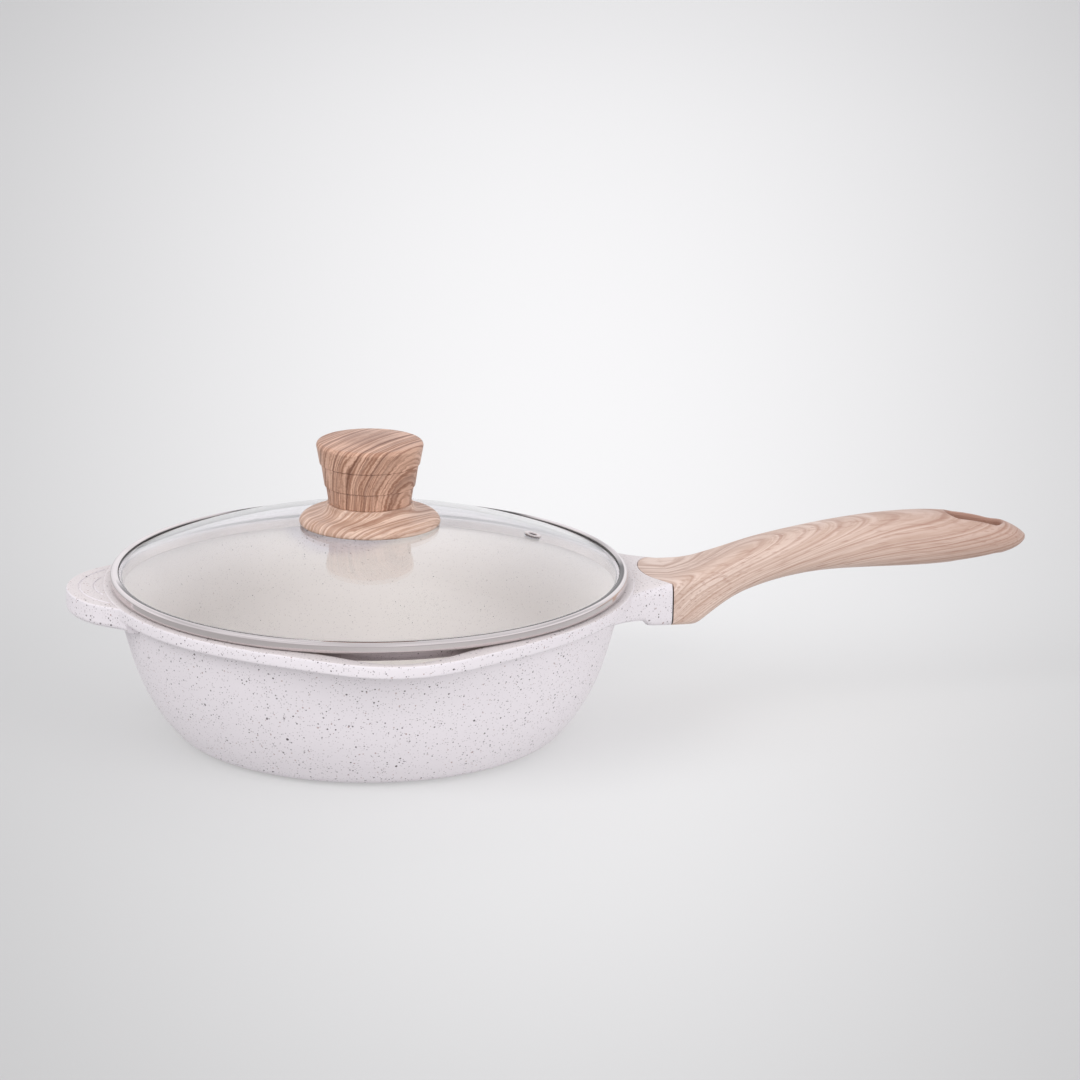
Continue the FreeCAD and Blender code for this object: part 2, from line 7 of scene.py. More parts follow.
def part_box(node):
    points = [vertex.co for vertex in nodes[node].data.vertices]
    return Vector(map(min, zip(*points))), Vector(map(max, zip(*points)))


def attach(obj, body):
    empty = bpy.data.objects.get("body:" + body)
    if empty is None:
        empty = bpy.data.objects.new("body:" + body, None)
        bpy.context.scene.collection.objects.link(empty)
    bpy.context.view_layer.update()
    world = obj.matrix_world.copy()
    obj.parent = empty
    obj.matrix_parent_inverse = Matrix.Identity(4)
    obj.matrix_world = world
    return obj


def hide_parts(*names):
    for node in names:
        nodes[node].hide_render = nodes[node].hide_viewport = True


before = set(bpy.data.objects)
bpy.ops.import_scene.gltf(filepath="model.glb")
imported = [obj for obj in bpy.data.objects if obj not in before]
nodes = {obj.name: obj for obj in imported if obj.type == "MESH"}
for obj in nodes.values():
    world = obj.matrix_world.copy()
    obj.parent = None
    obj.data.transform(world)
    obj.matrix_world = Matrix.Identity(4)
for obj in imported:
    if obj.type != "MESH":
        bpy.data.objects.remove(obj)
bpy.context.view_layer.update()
mm = 0.001

view = {
    "lens": 111.78,                         # for a sensor 36 mm wide
    "place": (-0.1761, -1.5260, 0.5252),
    "turn": 9.6,                            # degrees away from square to the handle
    "pitch": 15.78,
    "roll": 0.81,
}

studio = {
    "sky": (0.965, 0.955, 0.985),
    "skyStrength": 0.95,
    # sine of the height above the horizon, and how bright the studio is there
    "skyBands": ((0.0, 1.0), (0.45, 1.0), (0.66, 0.76), (0.80, 1.0), (1.0, 0.85)),
    "floorColor": (0.50, 0.50, 0.50),
    "floorGlow": 0.40,
    "pool": {                               # a painted pool of light: the brightest part of the floor, seen from the camera
        "aside": 0.01,                      # sideways and away, as shares of the distance away
        "away": 2.5,
        "fadeAside": 14.0,
        "fadeAway": 2.0,
        "least": 0.50,
    },
    "floorSpan": 9.0,
    "floorDrop": 0.0004,
    "lights": {
        "keyLight": ((-1.5, -1.0, 1.3), 1.5, 22.0),     # place, size, watts
        "fillLight": ((1.1, -1.5, 0.7), 1.6, 14.5),
        "backLight": ((0.2, 1.9, 1.7), 1.6, 4.0),
    },
}


def makeCamera():
    cameraData = bpy.data.cameras.new("camera")
    cameraData.lens = view["lens"]
    cameraData.sensor_width = 36
    camera = bpy.data.objects.new("camera", cameraData)
    bpy.context.scene.collection.objects.link(camera)
    turned = Matrix.Rotation(math.radians(-view["turn"]), 3, "Z")
    pitched = Matrix.Rotation(math.radians(90 - view["pitch"]), 3, "X")
    rolled = Matrix.Rotation(math.radians(view["roll"]), 3, "Z")
    camera.matrix_world = (turned @ pitched @ rolled).to_4x4()
    camera.location = view["place"]
    bpy.context.scene.camera = camera


# Shader node helpers. A value given to them is a number, a colour or another node's output socket.

def setInput(tree, socket, value):
    if isinstance(value, bpy.types.NodeSocket):
        tree.links.new(value, socket)
    elif isinstance(value, (tuple, list)) and len(value) == 3 and socket.type == "RGBA":
        socket.default_value = (*value, 1)
    else:
        socket.default_value = value


def addNode(tree, kind, inputs=None, **settings):
    made = tree.nodes.new("ShaderNode" + kind)
    for key, value in settings.items():
        setattr(made, key, value)
    for key, value in (inputs or {}).items():
        setInput(tree, made.inputs[key], value)
    return made


def calc(tree, operation, *values):
    made = addNode(tree, "Math", operation=operation)
    for socket, value in zip(made.inputs, values):
        setInput(tree, socket, value)
    return made.outputs[0]


def vectorCalc(tree, operation, *values):
    made = addNode(tree, "VectorMath", operation=operation)
    for socket, value in zip(made.inputs, values):
        setInput(tree, socket, value)
    return made.outputs["Value" if operation in ("LENGTH", "DOT_PRODUCT") else "Vector"]


def blendColor(tree, share, first, second, mode="MIX"):
    made = addNode(tree, "Mix", data_type="RGBA", blend_type=mode)
    setInput(tree, made.inputs[0], share)
    setInput(tree, made.inputs[6], first)
    setInput(tree, made.inputs[7], second)
    return made.outputs[2]


def spread(tree, value, low, high, newLow=0.0, newHigh=1.0, smooth=True):
    made = addNode(tree, "MapRange", interpolation_type="SMOOTHSTEP" if smooth else "LINEAR")
    given = {"Value": value, "From Min": low, "From Max": high, "To Min": newLow, "To Max": newHigh}
    for key, part in given.items():
        setInput(tree, made.inputs[key], part)
    return made.outputs["Result"]


def noise(tree, vector, scale, detail=2.0, roughness=0.5):
    inputs = {"Vector": vector, "Scale": scale, "Detail": detail, "Roughness": roughness}
    return addNode(tree, "TexNoise", inputs).outputs["Fac"]


def objectSpace(tree):
    return addNode(tree, "TexCoord").outputs["Object"]


def axes(tree, vector):
    return addNode(tree, "SeparateXYZ", {"Vector": vector}).outputs


def length(tree, first, second):
    square = calc(tree, "MULTIPLY", second, second)
    return calc(tree, "SQRT", calc(tree, "MULTIPLY_ADD", first, first, square))


def newGroup(name, inputs, outputs):
    group = bpy.data.node_groups.new(name, "ShaderNodeTree")
    for label, value in inputs.items():
        kind = "NodeSocketVector" if isinstance(value, tuple) else "NodeSocketFloat"
        group.interface.new_socket(label, in_out="INPUT", socket_type=kind).default_value = value
    for label in outputs:
        group.interface.new_socket(label, in_out="OUTPUT", socket_type="NodeSocketFloat")
    start = group.nodes.new("NodeGroupInput").outputs
    end = group.nodes.new("NodeGroupOutput").inputs
    return group, start, end


def placeGroup(tree, group, **inputs):
    made = addNode(tree, "Group", node_tree=group)
    for label, value in inputs.items():
        setInput(tree, made.inputs[label], value)
    return made.outputs


# Specks of uneven size, one at most in each cell. Scale is cells per metre, Size a share of a cell.
def speckGroup():
    inputs = {"Vector": (0.0, 0.0, 0.0), "Scale": 300.0, "Size": 0.12, "Share": 0.6, "Ragged": 0.15}
    tree, start, end = newGroup("specks", inputs, ("Mask", "Tone"))
    finer = calc(tree, "MULTIPLY", start["Scale"], 3.5)
    bent = addNode(tree, "TexNoise", {"Vector": start["Vector"], "Scale": finer})
    push = vectorCalc(tree, "SUBTRACT", bent.outputs["Color"], (0.5, 0.5, 0.5))
    reach = calc(tree, "DIVIDE", start["Ragged"], start["Scale"])
    scaled = addNode(tree, "VectorMath", {0: push, "Scale": reach}, operation="SCALE").outputs[0]
    moved = vectorCalc(tree, "ADD", start["Vector"], scaled)
    cells = addNode(tree, "TexVoronoi", {"Vector": moved, "Scale": start["Scale"]})
    tones = addNode(tree, "SeparateColor", {"Color": cells.outputs["Color"]}).outputs
    radius = calc(tree, "MULTIPLY", start["Size"], calc(tree, "MULTIPLY_ADD", tones[0], 0.9, 0.45))
    inside = spread(tree, calc(tree, "SUBTRACT", radius, cells.outputs["Distance"]), -0.01, 0.025)
    chosen = calc(tree, "LESS_THAN", tones[1], start["Share"])
    setInput(tree, end["Mask"], calc(tree, "MULTIPLY", inside, chosen))
    setInput(tree, end["Tone"], tones[2])
    return tree


# Growth rings round the vector's Z axis, with streaks that follow them and short pores along the axis.
def grainGroup():
    inputs = {"Vector": (0.0, 0.0, 0.0), "Spacing": 0.004, "Warp": 0.003, "Warp Scale": 22.0, "Stretch": 0.2,
              "Late Wood": 0.5, "Lines": 6.0}
    tree, start, end = newGroup("woodGrain", inputs, ("Rings", "Streaks", "Pores", "Drift"))
    along = addNode(tree, "CombineXYZ", {"X": 1.0, "Y": 1.0, "Z": start["Stretch"]}).outputs[0]
    eased = vectorCalc(tree, "MULTIPLY", start["Vector"], along)
    x, y = axes(tree, start["Vector"])[:2]
    distance = length(tree, x, y)
    wide = calc(tree, "SUBTRACT", noise(tree, eased, start["Warp Scale"], 2.0), 0.5)
    finer = calc(tree, "MULTIPLY", start["Warp Scale"], 6.0)
    small = calc(tree, "SUBTRACT", noise(tree, eased, finer, 2.0), 0.5)
    bent = calc(tree, "MULTIPLY_ADD", small, 0.14, wide)
    shifted = calc(tree, "MULTIPLY_ADD", bent, start["Warp"], distance)
    years = calc(tree, "MULTIPLY", calc(tree, "DIVIDE", distance, start["Spacing"]), 0.45)
    yearInputs = {"W": years, "Scale": 1.0, "Detail": 1.0}
    uneven = addNode(tree, "TexNoise", yearInputs, noise_dimensions="1D").outputs["Fac"]
    shifted = calc(tree, "MULTIPLY_ADD", calc(tree, "MULTIPLY", uneven, start["Spacing"]), 1.7, shifted)
    fuzz = calc(tree, "SUBTRACT", noise(tree, eased, 700.0, 2.0), 0.5)
    shifted = calc(tree, "MULTIPLY_ADD", calc(tree, "MULTIPLY", fuzz, start["Spacing"]), 0.16, shifted)
    turns = calc(tree, "DIVIDE", shifted, start["Spacing"])
    place = calc(tree, "FRACT", turns)
    rise = spread(tree, place, start["Late Wood"], 0.90)
    fall = spread(tree, place, 0.90, 1.0, 1.0, 0.0)
    number = {"W": calc(tree, "FLOOR", turns)}
    strength = addNode(tree, "TexWhiteNoise", number, noise_dimensions="1D").outputs["Value"]
    depth = calc(tree, "MULTIPLY_ADD", strength, 0.65, 0.35)
    setInput(tree, end["Rings"], calc(tree, "MULTIPLY", calc(tree, "MULTIPLY", rise, fall), depth))
    lineScale = 40.0                        # the noise scales its W input as well, so W is divided by it
    across = calc(tree, "DIVIDE", calc(tree, "MULTIPLY", turns, start["Lines"]), lineScale)
    fineInputs = {"W": across, "Vector": eased, "Scale": lineScale, "Detail": 3.0, "Roughness": 0.6}
    lines = addNode(tree, "TexNoise", fineInputs, noise_dimensions="4D").outputs["Fac"]
    setInput(tree, end["Streaks"], spread(tree, lines, 0.38, 0.62))
    fibre = vectorCalc(tree, "MULTIPLY", start["Vector"], (1.0, 1.0, 0.045))
    setInput(tree, end["Pores"], spread(tree, noise(tree, fibre, 1000.0, 2.0), 0.52, 0.70))
    setInput(tree, end["Drift"], noise(tree, eased, 14.0, 2.0))
    return tree


# Slow changes of tone and a fine even roughness, for any cast, moulded or coated surface.
def mottleGroup():
    inputs = {"Vector": (0.0, 0.0, 0.0), "Patch Scale": 25.0, "Fine Scale": 1400.0}
    tree, start, end = newGroup("mottle", inputs, ("Patches", "Fine"))
    setInput(tree, end["Patches"], noise(tree, start["Vector"], start["Patch Scale"], 3.0, 0.55))
    setInput(tree, end["Fine"], noise(tree, start["Vector"], start["Fine Scale"], 2.0, 0.6))
    return tree


# Lines left by turning about the Z axis. Across is by radius and height, so it suits walls and discs.
def turnedGroup():
    inputs = {"Vector": (0.0, 0.0, 0.0), "Scale": 900.0, "Break": 3.0}
    tree, start, end = newGroup("turned", inputs, ("Lines", "Wide"))
    x, y, z = axes(tree, start["Vector"])
    drift = calc(tree, "DIVIDE", start["Break"], start["Scale"])
    angle = calc(tree, "MULTIPLY", calc(tree, "ARCTAN2", y, x), drift)
    path = addNode(tree, "CombineXYZ", {"X": length(tree, x, y), "Y": z, "Z": angle}).outputs[0]
    setInput(tree, end["Lines"], noise(tree, path, start["Scale"], 2.0, 0.65))
    setInput(tree, end["Wide"], noise(tree, path, calc(tree, "MULTIPLY", start["Scale"], 0.12), 2.0, 0.5))
    return tree


# Light wipe marks and dust that lie on a polished surface.
def smudgeGroup():
    inputs = {"Vector": (0.0, 0.0, 0.0), "Scale": 18.0}
    tree, start, end = newGroup("smudges", inputs, ("Smear",))
    cloud = noise(tree, start["Vector"], start["Scale"], 4.0, 0.6)
    setInput(tree, end["Smear"], spread(tree, cloud, 0.52, 0.78))
    return tree


print("stage: node groups")
specks = speckGroup()
grain = grainGroup()
mottle = mottleGroup()
turned = turnedGroup()
smudges = smudgeGroup()


def newMaterial(name, **constants):
    material = bpy.data.materials.new(name)
    material.use_nodes = True
    tree = material.node_tree
    shader = tree.nodes["Principled BSDF"]
    for key, value in constants.items():
        setInput(tree, shader.inputs[key.replace("_", " ")], value)
    return material, tree, shader


def bump(tree, shader, height, depth):
    made = addNode(tree, "Bump", {"Height": height, "Distance": depth, "Strength": 1.0})
    setInput(tree, shader.inputs["Normal"], made.outputs["Normal"])


coating = {
    "outside": (0.725, 0.685, 0.712),
    # painted shade: faces that look up get this darker tone, against the light from above
    "top": (0.665, 0.610, 0.605),
    # the cooking side's own warmer tone, made lighter as painted light against the shade under the lid
    "inside": (0.885, 0.845, 0.800),
    "darkSpeck": (0.060, 0.048, 0.052),
    "brownSpeck": (0.24, 0.11, 0.08),
    "greySpeck": (0.27, 0.235, 0.245),
    "smallSpecks": (540.0, 0.19, 0.62),     # cells per metre, size in a cell, share of cells
    "largeSpecks": (225.0, 0.115, 0.36),
    "faintSpecks": (950.0, 0.25, 0.70),
    "ringDepth": 0.00022,
    "peelDepth": 0.00003,
    "wall": {                               # the middle of the casting's wall, from the rim to the floor
        "top": 72.3 * mm,
        "topR": 120.3 * mm,
        "lean": 16.0 * mm,
        "belly": 14.0 * mm,
        "floor": 2.0 * mm,
    },
}


# 1 on the cooking side of the casting, found from the middle of its wall.
def insideMask(tree, vector):
    x, y, z = axes(tree, vector)
    wall = coating["wall"]
    down = calc(tree, "SUBTRACT", 1.0, calc(tree, "DIVIDE", z, wall["top"]))
    inward = calc(tree, "MULTIPLY_ADD", calc(tree, "POWER", down, 3.0), wall["belly"], wall["lean"])
    middle = calc(tree, "SUBTRACT", wall["topR"], calc(tree, "MULTIPLY", down, inward))
    within = spread(tree, calc(tree, "SUBTRACT", middle, length(tree, x, y)), -0.8 * mm, 0.8 * mm)
    above = calc(tree, "GREATER_THAN", z, wall["floor"])
    return calc(tree, "MULTIPLY", within, above)


def coatingMaterial():
    made, tree, shader = newMaterial("speckledCoating", Roughness=0.42, IOR=1.47)
    where = objectSpace(tree)
    inside = insideMask(tree, where)
    facing = axes(tree, addNode(tree, "TexCoord").outputs["Normal"])[2]
    # painted shade on faces that look up
    upward = calc(tree, "MULTIPLY", spread(tree, facing, 0.75, 0.97), 0.9)
    tones = placeGroup(tree, mottle, Vector=where)
    color = blendColor(tree, upward, coating["outside"], coating["top"])
    # inside: partly the coat's own tone, partly painted light against the shade under the lid
    color = blendColor(tree, inside, color, coating["inside"])
    shade = blendColor(tree, tones["Patches"], (0.95, 0.95, 0.95), (1.0, 1.0, 1.0))
    color = blendColor(tree, 1.0, color, shade, "MULTIPLY")
    fewer = spread(tree, inside, 0.0, 1.0, 1.0, 0.40)
    smaller = spread(tree, inside, 0.0, 1.0, 1.0, 0.62)
    faint = placeGroup(tree, specks, Vector=where, Scale=coating["faintSpecks"][0],
                       Size=coating["faintSpecks"][1], Share=coating["faintSpecks"][2])
    thin = calc(tree, "MULTIPLY", calc(tree, "MULTIPLY", faint["Mask"], fewer), 0.6)
    color = blendColor(tree, thin, color, coating["greySpeck"])
    shift = vectorCalc(tree, "ADD", where, (0.013, 0.027, 0.041))
    for label, place in (("smallSpecks", where), ("largeSpecks", shift)):
        scale, size, share = coating[label]
        dots = placeGroup(tree, specks, Vector=place, Scale=scale, Ragged=0.22,
                          Size=calc(tree, "MULTIPLY", smaller, size),
                          Share=calc(tree, "MULTIPLY", fewer, share))
        brown = calc(tree, "GREATER_THAN", dots["Tone"], 0.72)
        dot = blendColor(tree, brown, coating["darkSpeck"], coating["brownSpeck"])
        soft = spread(tree, dots["Tone"], 0.0, 1.0, 0.97, 0.6)
        color = blendColor(tree, calc(tree, "MULTIPLY", dots["Mask"], soft), color, dot)
    setInput(tree, shader.inputs["Base Color"], color)
    setInput(tree, shader.inputs["Roughness"], spread(tree, tones["Fine"], 0.3, 0.7, 0.36, 0.50))
    rings = placeGroup(tree, turned, Vector=where, Scale=1000.0, Break=1.0)
    peel = calc(tree, "MULTIPLY", tones["Fine"], coating["peelDepth"])
    height = calc(tree, "MULTIPLY_ADD", rings["Wide"], coating["ringDepth"], peel)
    bump(tree, shader, height, 1.0)
    return made


handleWood = {
    "pale": (0.675, 0.535, 0.465),
    "mid": (0.540, 0.395, 0.325),
    "dark": (0.310, 0.165, 0.120),
    "spacing": 0.0019,
    "warp": 0.0036,
    "lateWood": 0.50,
    "lines": 3.0,
    "ringShade": 0.62,
    "poreShade": 0.40,
    "tipShade": (0.190, 0.335, 0.48),       # painted shade: darker from here to here, and by how much
    # the slot's shade is partly painted shade in the recess, partly its darker end grain
    "slot": {"fromTip": 12.5 * mm, "length": 28.0 * mm, "width": 12.0 * mm, "shade": 0.85},
    "heart": (0.16, 0.012, 0.030),          # a point on the line that the rings run round
    "lean": (3.0, -4.0),                    # degrees, up and sideways, from the handle's length
    "riseFrom": 0.150,                      # the grain climbs with the handle between these
    "riseTo": 0.262,
    "rise": 0.024,
}
gripWood = {
    "pale": (0.670, 0.425, 0.315),
    "mid": (0.330, 0.168, 0.108),
    "dark": (0.140, 0.056, 0.034),
    "spacing": 0.0047,
    "warp": 0.0075,
    "lateWood": 0.52,
    "lines": 7.0,
    "ringShade": 0.72,
    "poreShade": 0.25,
    "topShade": 0.26,                       # painted shade: the flat top is darker by this much
    "heart": (0.060, -0.036, 0.102),
    "turn": 50.0,                           # degrees from +X to the line that the rings run round
}
footWood = {
    "pale": (0.720, 0.535, 0.435),
    "mid": (0.450, 0.275, 0.195),
    "dark": (0.250, 0.120, 0.080),
    "spacing": 0.0042,
    "warp": 0.015,
    "lateWood": 0.45,
    "lines": 6.0,
    "ringShade": 0.55,
    "poreShade": 0.25,
    "topShade": 0.0,
    "heart": (0.040, -0.024, 0.090),
    "turn": 38.0,
}


woodDepth = {"ring": 0.04 * mm, "pore": 0.03 * mm}


def finishWood(tree, shader, wood, vector):
    lines = placeGroup(tree, grain, **{"Vector": vector, "Spacing": wood["spacing"], "Warp": wood["warp"],
                                       "Late Wood": wood["lateWood"], "Lines": wood["lines"]})
    color = blendColor(tree, lines["Streaks"], wood["mid"], wood["pale"])
    shade = blendColor(tree, lines["Drift"], (0.90, 0.89, 0.88), (1.08, 1.08, 1.08))
    color = blendColor(tree, 1.0, color, shade, "MULTIPLY")
    color = blendColor(tree, calc(tree, "MULTIPLY", lines["Rings"], wood["ringShade"]), color, wood["dark"])
    color = blendColor(tree, calc(tree, "MULTIPLY", lines["Pores"], wood["poreShade"]), color, wood["dark"])
    setInput(tree, shader.inputs["Roughness"], spread(tree, lines["Streaks"], 0.0, 1.0, 0.50, 0.40))
    ringDips = calc(tree, "MULTIPLY", lines["Rings"], -woodDepth["ring"])
    bump(tree, shader, calc(tree, "MULTIPLY_ADD", lines["Pores"], -woodDepth["pore"], ringDips), 1.0)
    return color


# 1 on the walls of the hanging slot, which is a slot with round ends just short of the handle's tip.
def slotMask(tree, x, y):
    shape = handleWood["slot"]
    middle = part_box("handle")[1][0] - shape["fromTip"] - shape["length"] / 2
    along = calc(tree, "ABSOLUTE", calc(tree, "SUBTRACT", x, middle))
    past = calc(tree, "MAXIMUM", calc(tree, "SUBTRACT", along, (shape["length"] - shape["width"]) / 2), 0.0)
    half = shape["width"] / 2
    return spread(tree, length(tree, past, y), half + 0.5 * mm, half + 1.3 * mm, 1.0, 0.0)


def handleMaterial():
    made, tree, shader = newMaterial("woodLookPale", IOR=1.46)
    x, y, z = axes(tree, objectSpace(tree))
    climb = spread(tree, x, handleWood["riseFrom"], handleWood["riseTo"], 0.0, handleWood["rise"])
    level = addNode(tree, "CombineXYZ", {"X": x, "Y": y, "Z": calc(tree, "SUBTRACT", z, climb)}).outputs[0]
    up, sideways = handleWood["lean"]
    turn = (0.0, math.radians(90 - up), math.radians(sideways))
    mapped = addNode(tree, "Mapping", {"Vector": level, "Location": handleWood["heart"], "Rotation": turn},
                     vector_type="TEXTURE").outputs[0]
    color = finishWood(tree, shader, handleWood, mapped)
    # painted shade towards the tip, where less light falls
    start, finish, share = handleWood["tipShade"]
    color = blendColor(tree, spread(tree, x, start, finish, 0.0, share), color, handleWood["dark"])
    # painted shade in the hanging slot, along with its darker end grain
    shade = calc(tree, "MULTIPLY", slotMask(tree, x, y), handleWood["slot"]["shade"])
    setInput(tree, shader.inputs["Base Color"], blendColor(tree, shade, color, handleWood["dark"]))
    return made


def knobMaterial(name, wood, top):
    made, tree, shader = newMaterial(name, IOR=1.46)
    where = objectSpace(tree)
    turn = (0.0, math.radians(90), math.radians(wood["turn"]))
    mapped = addNode(tree, "Mapping", {"Vector": where, "Location": wood["heart"], "Rotation": turn},
                     vector_type="TEXTURE").outputs[0]
    # painted shade on the flat top, against the light from above
    shade = spread(tree, axes(tree, where)[2], top - 0.9 * mm, top - 0.2 * mm, 0.0, wood["topShade"])
    color = blendColor(tree, shade, finishWood(tree, shader, wood, mapped), wood["dark"])
    setInput(tree, shader.inputs["Base Color"], color)
    return made


glass = {"tint": (0.992, 0.985, 1.0), "ior": 1.5}


def glassMaterial():
    made, tree, shader = newMaterial("lidGlass", Transmission_Weight=1.0, IOR=glass["ior"])
    marks = placeGroup(tree, smudges, Vector=objectSpace(tree))
    clean = blendColor(tree, marks["Smear"], glass["tint"], (0.97, 0.97, 0.98))
    setInput(tree, shader.inputs["Base Color"], clean)
    setInput(tree, shader.inputs["Roughness"], spread(tree, marks["Smear"], 0.0, 1.0, 0.0, 0.02))
    clear = addNode(tree, "BsdfTransparent")
    rays = addNode(tree, "LightPath")
    shadow = rays.outputs["Is Shadow Ray"]
    both = addNode(tree, "MixShader", {0: shadow, 1: shader.outputs[0], 2: clear.outputs[0]})
    setInput(tree, tree.nodes["Material Output"].inputs["Surface"], both.outputs[0])
    return made


# How bright and dull each metal is, its range of roughness, turning lines per metre and their depth.
metals = {
    "bandSteel": {"bright": (0.74, 0.685, 0.68), "dull": (0.66, 0.605, 0.60),
                  "rough": (0.05, 0.13), "lines": 2600.0, "depth": 0.000002},
    "plateSteel": {"bright": (0.66, 0.65, 0.64), "dull": (0.42, 0.41, 0.40),
                   "rough": (0.24, 0.42), "lines": 2200.0, "depth": 0.00003},
    "screwSteel": {"bright": (0.70, 0.70, 0.72), "dull": (0.48, 0.48, 0.49),
                   "rough": (0.20, 0.36), "lines": 3500.0, "depth": 0.000008},
    "insertBrass": {"bright": (0.80, 0.60, 0.30), "dull": (0.56, 0.38, 0.17),
                    "rough": (0.22, 0.38), "lines": 3000.0, "depth": 0.00001},
}


def metalMaterial(name):
    metal = metals[name]
    made, tree, shader = newMaterial(name, Metallic=1.0)
    where = objectSpace(tree)
    lines = placeGroup(tree, turned, Vector=where, Scale=metal["lines"], Break=40.0)
    marks = placeGroup(tree, smudges, Vector=where, Scale=60.0)
    color = blendColor(tree, lines["Lines"], metal["dull"], metal["bright"])
    setInput(tree, shader.inputs["Base Color"], color)
    low, high = metal["rough"]
    wear = calc(tree, "MULTIPLY_ADD", marks["Smear"], 0.4, calc(tree, "MULTIPLY", lines["Lines"], 0.6))
    setInput(tree, shader.inputs["Roughness"], spread(tree, wear, 0.1, 0.8, low, high))
    bump(tree, shader, lines["Lines"], metal["depth"])
    return made


rubbers = {
    "blackRubber": {"color": (0.018, 0.017, 0.018), "dusty": (0.06, 0.057, 0.055), "rough": (0.45, 0.65)},
    "greyRubber": {"color": (0.060, 0.058, 0.058), "dusty": (0.12, 0.115, 0.11), "rough": (0.40, 0.60)},
    "clearRubber": {"color": (0.70, 0.69, 0.67), "dusty": (0.80, 0.79, 0.77), "rough": (0.30, 0.45)},
}


def rubberMaterial(name):
    rubber = rubbers[name]
    made, tree, shader = newMaterial(name, IOR=1.41)
    scales = {"Patch Scale": 120.0, "Fine Scale": 2500.0}
    tones = placeGroup(tree, mottle, Vector=objectSpace(tree), **scales)
    color = blendColor(tree, tones["Patches"], rubber["color"], rubber["dusty"])
    setInput(tree, shader.inputs["Base Color"], color)
    setInput(tree, shader.inputs["Roughness"], spread(tree, tones["Fine"], 0.3, 0.7, *rubber["rough"]))
    bump(tree, shader, tones["Fine"], 0.00002)
    return made


# The pool of light on the floor fans out away from the camera's place.
def poolLevel(tree):
    pool = studio["pool"]
    place = (view["place"][0], view["place"][1], 0.0)
    turn = (0.0, 0.0, math.radians(-view["turn"]))
    spot = addNode(tree, "Mapping", {"Vector": objectSpace(tree), "Location": place, "Rotation": turn},
                   vector_type="TEXTURE").outputs[0]
    side, depth = axes(tree, spot)[:2]
    depth = calc(tree, "MAXIMUM", depth, 0.6)
    aside = calc(tree, "SUBTRACT", calc(tree, "DIVIDE", side, depth), pool["aside"])
    nearer = calc(tree, "SUBTRACT", calc(tree, "DIVIDE", 1.0, depth), 1 / pool["away"])
    lost = calc(tree, "MULTIPLY", calc(tree, "MULTIPLY", aside, aside), pool["fadeAside"])
    lost = calc(tree, "MULTIPLY_ADD", calc(tree, "MULTIPLY", nearer, nearer), pool["fadeAway"], lost)
    kept = calc(tree, "EXPONENT", calc(tree, "DIVIDE", lost, pool["least"] - 1))
    return calc(tree, "MULTIPLY_ADD", kept, 1 - pool["least"], pool["least"])


# One sided, so that the pan's underside can be looked at from below.
def floorMaterial():
    made, tree, shader = newMaterial("paleFloor", Roughness=0.7)
    tones = placeGroup(tree, mottle, Vector=objectSpace(tree), **{"Patch Scale": 1.2, "Fine Scale": 300.0})
    low = tuple(0.985 * part for part in studio["floorColor"])
    color = blendColor(tree, tones["Patches"], low, studio["floorColor"])
    pool = poolLevel(tree)
    # the painted pool of light sets both the floor's colour and its glow
    lit = addNode(tree, "CombineColor", {"Red": pool, "Green": pool, "Blue": pool}).outputs[0]
    setInput(tree, shader.inputs["Base Color"], blendColor(tree, 1.0, color, lit, "MULTIPLY"))
    shader.inputs["Specular IOR Level"].default_value = 0.1
    setInput(tree, shader.inputs["Emission Color"], lit)
    shader.inputs["Emission Strength"].default_value = studio["floorGlow"]
    clear = addNode(tree, "BsdfTransparent")
    below = addNode(tree, "NewGeometry").outputs["Backfacing"]
    both = addNode(tree, "MixShader", {0: below, 1: shader.outputs[0], 2: clear.outputs[0]})
    setInput(tree, tree.nodes["Material Output"].inputs["Surface"], both.outputs[0])
    return made


def makeLight(name, place, size, watts):
    lightData = bpy.data.lights.new(name, "AREA")
    lightData.shape = "DISK"
    lightData.size = size
    lightData.energy = watts
    light = bpy.data.objects.new(name, lightData)
    bpy.context.scene.collection.objects.link(light)
    light.location = place
    aim = Vector((0.05, 0, 0.06)) - Vector(place)
    light.rotation_euler = aim.to_track_quat("-Z", "Y").to_euler()
    light.visible_glossy = False
    light.visible_transmission = False


def makeStudio():
    bpy.context.scene.view_settings.view_transform = "Standard"
    world = bpy.data.worlds.new("studioSky")
    bpy.context.scene.world = world
    world.use_nodes = True
    tree = world.node_tree
    direction = addNode(tree, "TexCoord").outputs["Generated"]
    bands = addNode(tree, "ValToRGB", {"Fac": axes(tree, direction)[2]})
    stops = bands.color_ramp.elements
    for i, (height, level) in enumerate(studio["skyBands"]):
        stop = stops[i] if i < len(stops) else stops.new(height)
        stop.position = height
        stop.color = (level, level, level, 1)
    patches = spread(tree, noise(tree, direction, 1.7, 1.0), 0.35, 0.65, 0.86, 1.12)
    lit = vectorCalc(tree, "MULTIPLY", bands.outputs["Color"], studio["sky"])
    lit = addNode(tree, "VectorMath", {0: lit, "Scale": patches}, operation="SCALE").outputs[0]
    background = tree.nodes["Background"]
    setInput(tree, background.inputs["Color"], lit)
    background.inputs["Strength"].default_value = studio["skyStrength"]
    for name, (place, size, watts) in studio["lights"].items():
        makeLight(name, place, size, watts)
    mesh = bpy.data.meshes.new("floor")
    span = studio["floorSpan"]
    low = -studio["floorDrop"]
    corners = [(-span, -span, low), (span, -span, low), (span, span, low), (-span, span, low)]
    mesh.from_pydata(corners, [], [(0, 1, 2, 3)])
    floor = bpy.data.objects.new("floor", mesh)
    bpy.context.scene.collection.objects.link(floor)
    mesh.materials.append(floorMaterial())


print("stage: camera and studio")
makeCamera()
makeStudio()


